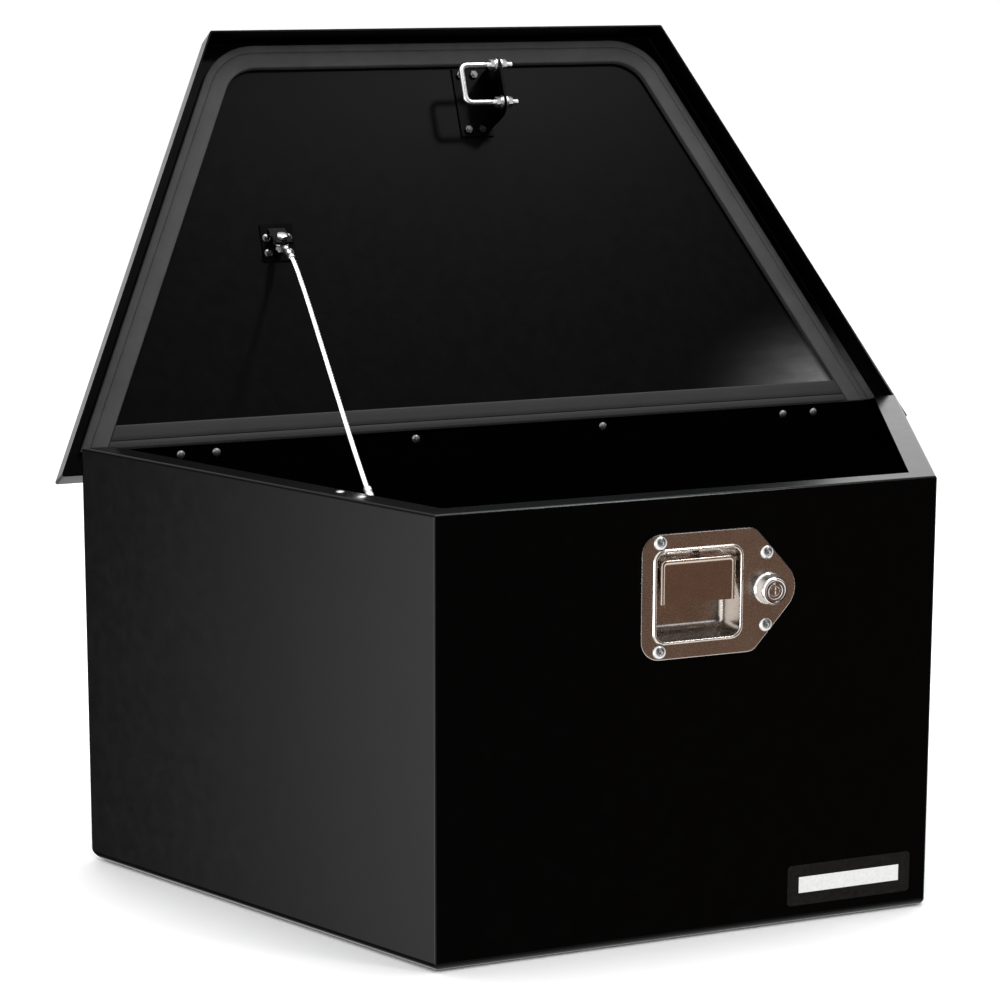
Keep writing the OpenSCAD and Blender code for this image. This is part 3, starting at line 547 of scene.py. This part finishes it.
def make_cable_ends():
    """The two eyes, each with its bolt and nut."""
    nut_out, head_out, head_h, shank_r = 3, 6, 4.5, 3.2
    top_axis = Matrix.Rotation(TILT, 3, "X") @ Vector((0, 0, 1))
    make_eye("cable_eye_top", TOP_EYE, top_axis, TOP_WAY, "lid", "cable_lid_eye")
    turn = Matrix.Rotation(math.atan2(WAY.x, -WAY.y), 3, "Z")
    foot_axis = turn @ Vector((1, 0, 0))
    make_eye("cable_eye_foot", FOOT_EYE, foot_axis, -WAY, "tub", "cable_tub_eye")
    for name, centre, axis, body, node in (
            ("cable_nut_top", TOP_EYE - top_axis * nut_out, -top_axis, "lid", "cable_lid_nut"),
            ("cable_nut_foot", FOOT_EYE + foot_axis * nut_out, foot_axis, "tub", "cable_tub_nut")):
        nut = hex_nut(centre, axis, HEX_FLATS, HEX_BORE, HEX_HEIGHT)
        place(new_object(name, *nut), body, ZINC, "zinc", node)
    for name, centre, axis, body, node in (
            ("cable_bolt_top", TOP_EYE + top_axis * head_out, top_axis, "lid", "cable_lid_bolt"),
            ("cable_bolt_foot", FOOT_EYE - foot_axis * head_out, -foot_axis, "tub", "cable_tub_bolt")):
        head = hex_nut(centre, axis, HEX_FLATS, 0.3, head_h)
        profile = thread(shank_r, -17.5, -9.5) + [(shank_r, -9), (shank_r, 1)]
        shank = lathe(capped(profile), centre, axis, 32)
        place(new_object(name, *join([head, shank])), body, ZINC, "zinc", node)


def thread(r, start, end, pitch=1.27, depth=0.42):
    """The profile of a thread, as rings, from its chamfered start to its end."""
    chamfer = 0.6
    out = [(r - chamfer, start), (r - 0.1, start + chamfer)]
    for i in range(int((end - start - 2 * chamfer) / pitch)):
        h = start + 0.8 + i * pitch
        out += [(r, h), (r - depth, h + pitch / 2)]
    out.append((r, end))
    return out


make_rope()
make_cable_ends()


# ---------------------------------------------------------------- the lid's seal
SEAL_T, SEAL_W, SEAL_IN, SEAL_CORNER = 7.4, 27.5, 2, 70
SEAL_FRONT, SEAL_REAR = FRONT_Y - 5.5, 220.5


def seal_section():
    """Distance in from the outer edge and height, with rounded shoulders and a split line."""
    t = SEAL_T
    return [(0, 0), (0, t - 1.8), (0.35, t - 0.8), (1.1, t - 0.2), (2.2, t), (5.0, t), (8.2, t),
            (8.8, t - 0.35), (9.1, t - 1.1), (9.4, t - 0.35), (10.0, t), (15, t + 0.1), (20, t + 0.1),
            (25.3, t), (26.4, t - 0.2), (27.15, t - 0.8), (27.5, t - 1.8), (27.5, 0)]


def make_seal():
    """A foam strip round the front and both sides, and a shorter one butted in along the rear."""
    section = seal_section()
    rows = []
    for d, h in section:
        a, b, c, e = (Vector(p) for p in lid_plan(-SEAL_IN - d, SEAL_FRONT + d, SEAL_REAR))
        r = SEAL_CORNER - d
        # The straight runs stop short of the corners' arcs.
        path = [e.lerp(a, k / 24) for k in range(16)] + arc_corner(e, a, b, r, 14)
        path += [a.lerp(b, k / 24) for k in range(8, 17)] + arc_corner(a, b, c, r, 14)
        path += [b.lerp(c, k / 24) for k in range(9, 25)]
        rows.append([lid_open((p.x, p.y, LID_UNDER - h)) for p in path])
    cols = len(rows[0])
    faces = grid_faces(len(rows), cols, closed_cols=False) + end_faces(len(rows), cols)
    seal = new_object("lid_foam", [p for row in rows for p in row], faces, 50)
    place(seal, "lid", FOAM, "foam", "lid_seal")

    gap, narrower, thinner, cuts = 0.4, 0.98, 0.5, 40
    rows = []
    for d, h in section:
        y = SEAL_REAR - gap - d * narrower
        half = half_w(y, -SEAL_IN - SEAL_W) - gap
        z = LID_UNDER - max(0, h - thinner)
        rows.append([lid_open((-half + 2 * half * k / cuts, y, z)) for k in range(cuts + 1)])
    faces = grid_faces(len(rows), cuts + 1, closed_cols=False) + end_faces(len(rows), cuts + 1)
    rear = new_object("lid_foam_rear", [p for row in rows for p in row], faces, 50)
    # The rear strip takes the darker copy of the foam: painted shade.
    place(rear, "lid", FOAM_REAR_PAINTED_SHADE, "foam")


make_seal()


# ---------------------------------------------------------------- the striker
def make_striker():
    """The U-bolt with its threads, and its four nuts. The legs run along x from the bar."""
    bar = Vector((10, FRONT_Y + 62.5, LID_TOP - 50))
    half, bend, r = 23.0, 8.0, 3.2
    plain, threaded, tip = 24, 30, 64
    line = [Vector((plain, half, 0)), Vector((bend + 4, half, 0))]
    for k in range(9):
        t = math.radians(90 + 90 * k / 8)
        line.append(Vector((bend + bend * math.cos(t), half - bend + bend * math.sin(t), 0)))
    for k in range(9):
        t = math.radians(180 + 90 * k / 8)
        line.append(Vector((bend + bend * math.cos(t), -half + bend + bend * math.sin(t), 0)))
    line += [Vector((bend + 4, -half, 0)), Vector((plain, -half, 0))]
    up = Vector((0, 0, 1))
    verts = []
    for i, p in enumerate(line):
        way = (line[min(i + 1, len(line) - 1)] - line[max(i - 1, 0)]).normalized()
        side = way.cross(up)
        for k in range(24):
            t = TAU * k / 24
            verts.append(lid_open(bar + p + (side * math.cos(t) + up * math.sin(t)) * r))
    parts = [(verts, grid_faces(len(line), 24))]
    cut = [(rr, threaded + tip - h) for rr, h in reversed(thread(r, threaded, tip))]
    for s in (-1, 1):
        at = lid_open(bar + Vector((0, s * half, 0)))
        parts.append(lathe([(r, plain), (r, threaded)] + cut + [(0.01, tip)], at, (1, 0, 0), 28))
    place(new_object("striker_bar", *join(parts)), "lid", ZINC, "zinc", "striker_u_bolt")

    plate_near, plate_far, washer = 54.5, 57.5, 3.2
    nuts = []
    for s in (-1, 1):
        for x, way in ((plate_near - washer, -1), (plate_far + washer, 1)):
            at = lid_open(Vector((x, bar.y + s * half, bar.z)))
            nuts.append(hex_nut(at, (way, 0, 0), HEX_FLATS, HEX_BORE, HEX_HEIGHT))
    place(new_object("striker_hex_nuts", *join(nuts)), "lid", ZINC, "zinc", "striker_nuts")


make_striker()


# ---------------------------------------------------------------- the latch
SCREWS = [(-42, 55), (-42, -55), (75, 37), (75, -37)]
LOCK_X = 77.5


def plate_outline(shrink, steps=8):
    """The plate's outline: rounded at the left, and running into a round bulge at the right."""
    left, top, right = -61.8 + shrink, 63.5 - shrink, 61.0
    r, corner, crook = 29.8 - shrink, 20 - shrink, 14
    reach = Vector((right - LOCK_X, top))
    lean = math.atan2(reach.y, reach.x) - math.acos(r / reach.length)
    meet_x, meet_z = LOCK_X + r * math.cos(lean), r * math.sin(lean)
    out = arc_corner((left, top), (left, -top), (right, -top), corner, steps)
    out += arc_corner((left, -top), (right, -top), (meet_x, -meet_z), crook, steps)
    for k in range(17):
        t = -lean + 2 * lean * k / 16
        out.append(Vector((LOCK_X + r * math.cos(t), r * math.sin(t))))
    out += arc_corner((meet_x, meet_z), (right, top), (left, top), crook, steps)
    out += arc_corner((right, top), (left, top), (left, -top), corner, steps)
    return out


def window(w, h, r):
    """A rounded rectangle of half width w and half height h."""
    return rounded(rect(w, h), [r] * 4, 10)


def filled(outer, holes, y, place_point):
    """A flat face at depth y with holes, as triangles."""
    bm = bmesh.new()
    edges = []
    for loop in [outer] + holes:
        vs = [bm.verts.new(place_point(p[0], y, p[1])) for p in loop]
        for i, v in enumerate(vs):
            edges.append(bm.edges.new((v, vs[(i + 1) % len(vs)])))
    bmesh.ops.triangle_fill(bm, use_beauty=True, edges=edges)
    bm.verts.index_update()
    verts = [v.co.copy() for v in bm.verts]
    faces = [tuple(v.index for v in f.verts) for f in bm.faces]
    bm.free()
    return verts, faces


def circle(x, z, r, steps=32):
    turns = [TAU * k / steps for k in range(steps)]
    return [Vector((x + r * math.cos(t), z + r * math.sin(t))) for t in turns]


def loft(loops_y, place_point):
    """Loops with the same count at their own depths, joined in order."""
    verts = [place_point(p[0], y, p[1]) for loop, y in loops_y for p in loop]
    return verts, grid_faces(len(loops_y), len(loops_y[0][0]))


def make_latch_dish():
    """The plate with its rolled rim round the mouth, and the dish with its slot for the arm."""
    plate_front, plate_back = -3.5, -1.5
    floor_front, floor_back = 26.0, 27.4
    holes = [circle(x, z, 2.6) for x, z in SCREWS] + [circle(LOCK_X, 0, 9.7)]
    front_holes = holes + [window(49.3, 48.3, 12.5)]
    back_holes = holes + [window(47, 46.2, 11)]
    parts = [filled(plate_outline(1.3), front_holes, plate_front, latch_point),
             filled(plate_outline(0.0), back_holes, plate_back, latch_point),
             loft([(plate_outline(1.3), plate_front), (plate_outline(0.7), plate_front),
                   (plate_outline(0.25), plate_front + 0.2), (plate_outline(0.0), plate_front + 0.75),
                   (plate_outline(0.0), plate_back)], latch_point)]
    parts += [loft([(h, plate_front), (h, plate_back)], latch_point) for h in holes]

    # The dish's two faces: half width, half height, corner radius and depth.
    inside = [(49.3, 48.3, 12.5, plate_front), (49.0, 48.0, 12.3, -3.9), (48.6, 47.6, 12.0, -4.7),
              (48.0, 47.0, 11.6, -5.2), (47.2, 46.2, 11.0, -5.45), (46.4, 45.5, 10.6, -5.2),
              (45.8, 45.1, 10.3, -4.6), (45.5, 44.8, 10.0, -3.6), (44.9, 44.2, 9.6, 0.0),
              (43.4, 42.7, 8.8, 10.0), (42.1, 41.4, 8.2, 18.5), (41.7, 41.0, 8.1, 20.4),
              (40.9, 40.2, 7.8, 22.3), (39.6, 38.9, 7.3, 24.0), (37.9, 37.2, 6.6, 25.2),
              (35.9, 35.2, 5.8, 25.8), (34.2, 33.5, 5.2, floor_front)]
    outside = [(47.0, 46.2, 11.0, plate_back), (46.6, 45.9, 10.6, 0.0), (45.0, 44.3, 9.8, 10.0),
               (43.2, 42.5, 9.0, 22.5), (42.4, 41.7, 8.6, 25.6), (41.2, 40.5, 7.8, 27.0),
               (39.6, 38.9, 6.8, floor_back)]
    slot = [Vector(p) for p in rect(5, 15, 12, 23)]
    for face, depth in ((inside, floor_front), (outside, floor_back)):
        loops = [(window(w, h, r), y) for w, h, r, y in face]
        parts.append(loft(loops, latch_point))
        parts.append(filled(loops[-1][0], [slot], depth, latch_point))
    parts.append(loft([(slot, floor_front), (slot, floor_back)], latch_point))
    place(new_object("latch_pan", *join(parts), 40), "tub", STAINLESS, "stainless", "latch_dish")


def make_paddle():
    """A pressed paddle: rolled edges at the left, top and right round a flat face, with its arm."""
    w, top, low, r = 41.25, 37.5, -7.5, 7.0
    face_y, face_inset, steps = -3.0, 6.0, 8
    # Inset and depth from the wall's rear edge, which follows the cheeks, to the flat face.
    section = [(0.0, None), (0.0, -1.2), (0.35, -2.6), (1.1, -3.6), (2.2, -4.0), (3.3, -3.85),
               (4.1, -3.3), (4.8, face_y), (face_inset, face_y)]

    def u_path(inset):
        hw, t, rr = w - inset, top - inset, max(r - inset, 1.0)
        pts = [Vector((-hw, low + (t - rr - low) * k / 6)) for k in range(6)]
        pts += arc_corner((-hw, low), (-hw, t), (hw, t), rr, steps)
        pts += [Vector((-hw + rr + (2 * hw - 2 * rr) * k / 12, t)) for k in range(1, 12)]
        pts += arc_corner((-hw, t), (hw, t), (hw, low), rr, steps)
        pts += [Vector((hw, t - rr - (t - rr - low) * k / 6)) for k in range(1, 7)]
        return pts

    def cheek(p):
        if p.y > top - r - 0.5:
            return 8.0
        return max(0.4, 12.0 * min(1, (p.y - low) / 24))

    verts = []
    for inset, y in section:
        line = u_path(inset)
        verts += [latch_point(p.x, cheek(p) if y is None else y, p.y) for p in line]
    rim = (verts, grid_faces(len(section), len(line), closed_cols=False))
    face = filled(u_path(face_inset), [], face_y, latch_point)
    shell = new_object("paddle_face", *join([rim, face]), 40, closed=False)
    mod = shell.modifiers.new("thick", "SOLIDIFY")
    mod.thickness = 0.0011
    mod.offset = -1
    # The paddle takes the browner, darker copy of the stainless: painted reflection and shade.
    place(shell, "paddle", STAINLESS_PAINTED_WARM, "stainless", "paddle")
    arm = bevel_box((8, -2.0, 30), (16, 46, 34), 0.6)
    boss = lathe([(2.6, -4), (4.2, -4), (4.5, -3.6), (4.5, 3.6), (4.2, 4), (2.6, 4), (2.6, -4)],
                 latch_point(12, 8, 30), (1, 0, 0), 32)
    place(new_object("paddle_arm", *join([arm, boss])), "paddle", STAINLESS, "stainless")


def bevel_box(a, b, r):
    """A box with chamfered long edges, from corner a to corner b in the latch's frame."""
    (x0, y0, z0), (x1, y1, z1) = a, b
    outline = [(x0 + r, z0), (x1 - r, z0), (x1, z0 + r), (x1, z1 - r),
               (x1 - r, z1), (x0 + r, z1), (x0, z1 - r), (x0, z0 + r)]
    verts = [latch_point(x, y, z) for y in (y0, y1) for x, z in outline]
    return verts, grid_faces(2, 8) + [tuple(range(7, -1, -1)), tuple(range(8, 16))]


def make_lock():
    """The barrel with its stepped collar, and the plug with its ridge, keyway and square tail."""
    front, tail = -19.5, 20.3
    face, keyway = front + 1.4, 1.2
    at = latch_point(LOCK_X, 0, 0)

    def turned(profile, steps):
        return lathe([(r, -y) for r, y in profile], at, (0, -1, 0), steps)

    def lock_point(x, y, z):
        return latch_point(LOCK_X + x, y, z)

    barrel = [(9.5, 20), (9.5, -3.5), (16.0, -3.5), (16.2, -4.0), (15.7, -4.8), (15.0, -5.4),
              (14.6, -6.4), (14.4, front + 3.2), (14.2, front + 2.4), (13.6, front + 1.4),
              (13.0, front + 0.5), (12.4, front), (11.2, front), (10.7, front + 0.3),
              (10.5, front + 1.1), (8.6, front + 1.3), (8.1, front + 1.1), (7.6, front + 1.6),
              (7.6, front + 6)]
    place(new_object("lock_case", *turned(barrel, 64)), "tub", CHROME, "chrome", "lock_barrel")

    key = [(-0.9, -3.8), (0.9, -3.8), (0.9, -0.6), (0.45, 0.0), (0.9, 0.6), (0.9, 3.8), (-0.9, 3.8)]
    ridge = [(5.7, face), (5.4, face - 0.5), (4.9, face - 0.5), (4.6, face), (5.7, face)]
    rim, wall = circle(0, 0, 6.9, 48), circle(0, 0, 7.45, 48)
    parts = [filled(rim, [key], face, lock_point),
             loft([(rim, face), (circle(0, 0, 7.4, 48), face + 0.5), (wall, tail)], lock_point),
             loft([(key, face), (key, face + keyway)], lock_point),
             filled(key, [], face + keyway, lock_point),
             turned(ridge, 48),
             filled(wall, [], tail, lock_point),
             bevel_box((LOCK_X - 4, tail, -4), (LOCK_X + 4, 24, 4), 0.3),
             turned(capped([(3, 29), (3, 23)]), 24)]
    place(new_object("lock_core", *join(parts)), "lock", CHROME, "chrome", "lock_plug")


def make_screws():
    """The latch's four round-headed screws, and their washers and nuts behind the wall."""
    head = [(7.0, 0.0), (7.0, 0.5), (6.7, 1.3), (6.0, 2.1), (4.9, 2.8), (3.6, 3.2), (2.3, 3.35),
            (2.1, 3.2), (1.9, 1.6), (0.01, 1.4)]
    washer = [(2.6, 0), (6, 0), (6, 1), (2.6, 1), (2.6, 0)]
    screws, nuts = [], []
    for x, z in SCREWS:
        at = latch_point(x, -3.5, z)
        screws.append(lathe(head, at, (0, -1, 0), 40))
        screws.append(lathe(capped(thread(2.4, -13.5, 0)), at, (0, -1, 0), 24))
        nuts.append(lathe(washer, latch_point(x, 2, z), (0, 1, 0), 32))
        nuts.append(hex_nut(latch_point(x, 3, z), (0, 1, 0), 8, 2.5, 4))
    place(new_object("latch_pan_screws", *join(screws)), "tub", ZINC, "zinc", "latch_screws")
    place(new_object("latch_hex_nuts", *join(nuts)), "tub", ZINC, "zinc", "latch_nuts")


make_latch_dish()
make_paddle()
make_lock()
make_screws()


# ---------------------------------------------------------------- the CAD nodes that stay
STAYS = {
    COAT_FRONT: ["front_panel"],
    COAT: ["left_panel", "right_panel", "back_panel", "floor_panel"],
    COAT_LID: ["lid_shell"],
    DARK: ["hinge_tub_leaf", "hinge_lid_leaf", "hinge_lid_rivets", "striker_bracket",
           "cable_lid_bracket", "cable_tub_bracket", "latch_frame", "latch_back_plate"],
    DULL: ["hinge_tub_rivets", "cable_tub_screws"],
    BLACK_ZINC: ["striker_bracket_screws", "cable_lid_rivets"],
    ZINC: ["hinge_pin", "striker_washers", "paddle_pin", "paddle_spring", "lock_nut", "lock_cam",
           "lock_cam_nut", "frame_spacers", "rotor", "rotor_pin", "rotor_spring", "pawl",
           "pawl_pin", "pawl_spring"],
    GASKET: ["latch_gasket"],
}
for mat, names in STAYS.items():
    for n in names:
        paint(nodes[n], mat)
paint(nodes["plain_decal"], decal_film())


# ---------------------------------------------------------------- floor, world and light
def make_floor():
    """A pale floor just under the box, which the box itself doesn't see."""
    s = 30.0
    mesh = bpy.data.meshes.new("floor")
    mesh.from_pydata([(-s, -s, 0), (s, -s, 0), (s, s, 0), (-s, s, 0)], [], [(0, 1, 2, 3)])
    floor = bpy.data.objects.new("floor", mesh)
    bpy.context.scene.collection.objects.link(floor)
    mat, tree, bsdf = material("pale_floor")
    fine = noise(tree, coords(tree), 3, 4.0)
    link(tree, mix_colour(tree, ramp(tree, fine, 0, 1), (0.93, 0.93, 0.93), (0.95, 0.95, 0.95)),
         bsdf.inputs["Base Color"])
    bsdf.inputs["Roughness"].default_value = 0.9
    floor.data.materials.append(mat)
    floor.location.z = -0.0005
    floor.visible_glossy = False
    floor.visible_diffuse = False


def lobe(tree, direction, vector, inner, outer):
    """1 within the inner angle of a direction, easing to 0 at the outer angle, in degrees."""
    r = tree.nodes.new("ShaderNodeMapRange")
    r.interpolation_type = "SMOOTHSTEP"
    r.inputs["From Min"].default_value = math.cos(math.radians(outer))
    r.inputs["From Max"].default_value = math.cos(math.radians(inner))
    link(tree, dot_with(tree, vector, Vector(direction).normalized()), r.inputs["Value"])
    return r.outputs["Result"]


# What the box's shiny faces see, each lobe laid over the ones before it:
# direction, the angles in degrees where it is full and where it ends, colour.
STUDIO = (1.25, 1.25, 1.25)
LOBES = [
    ((-1, 0.5, -0.3), 30, 50, (0.1, 0.1, 0.1)),             # dark, low at the left rear
    ((-0.93, 0.0, -0.21), 5, 25, (7.1, 7.1, 7.2)),          # bright, at the left
    ((0.36, -0.85, 0.3), 40, 62, (0.008, 0.008, 0.008)),    # dark and wide, in front
    ((0.2, -0.64, 0.75), 0, 22, (0.25, 0.25, 0.25)),        # grey, high in front
    ((0.37, -0.86, 0.32), 2, 11, (1.4, 1.4, 1.4)),          # a small bright patch within the dark
    ((0.54, -0.81, -0.22), 6, 25, (0.145, 0.078, 0.046)),   # dim and warm, low at the front right
]
OTHER_RAYS = (1.1, 1.1, 1.1)


def make_world():
    """White to the camera and to the matt faces, and a studio of lobes to the shiny ones."""
    world = bpy.data.worlds.new("studio")
    bpy.context.scene.world = world
    world.use_nodes = True
    tree = world.node_tree
    back = tree.nodes["Background"]
    way = tree.nodes.new("ShaderNodeTexCoord").outputs["Generated"]
    seen = STUDIO
    for direction, inner, outer, colour in LOBES:
        seen = mix_colour(tree, lobe(tree, direction, way, inner, outer), seen, colour)
    glossy = tree.nodes.new("ShaderNodeLightPath").outputs["Is Glossy Ray"]
    link(tree, mix_colour(tree, glossy, OTHER_RAYS, seen), back.inputs["Color"])
    back.inputs["Strength"].default_value = 1.0


def area(name, size, at, target, power):
    data = bpy.data.lights.new(name, "AREA")
    data.shape = "RECTANGLE"
    data.size, data.size_y = size
    data.energy = power
    lamp = bpy.data.objects.new(name, data)
    lamp.location = at
    lamp.rotation_euler = (Vector(target) - Vector(at)).to_track_quat("-Z", "Y").to_euler()
    bpy.context.scene.collection.objects.link(lamp)


make_floor()
make_world()
area("top_softbox", (2.4, 1.6), (0.2, 0.4, 3.2), (0, 0, 0.4), 100)
area("key_light", (0.6, 0.6), (2.4, -2.7, 5.3), (0.01, 0.45, 0.8), 55)

bpy.context.scene.view_settings.view_transform = "Standard"
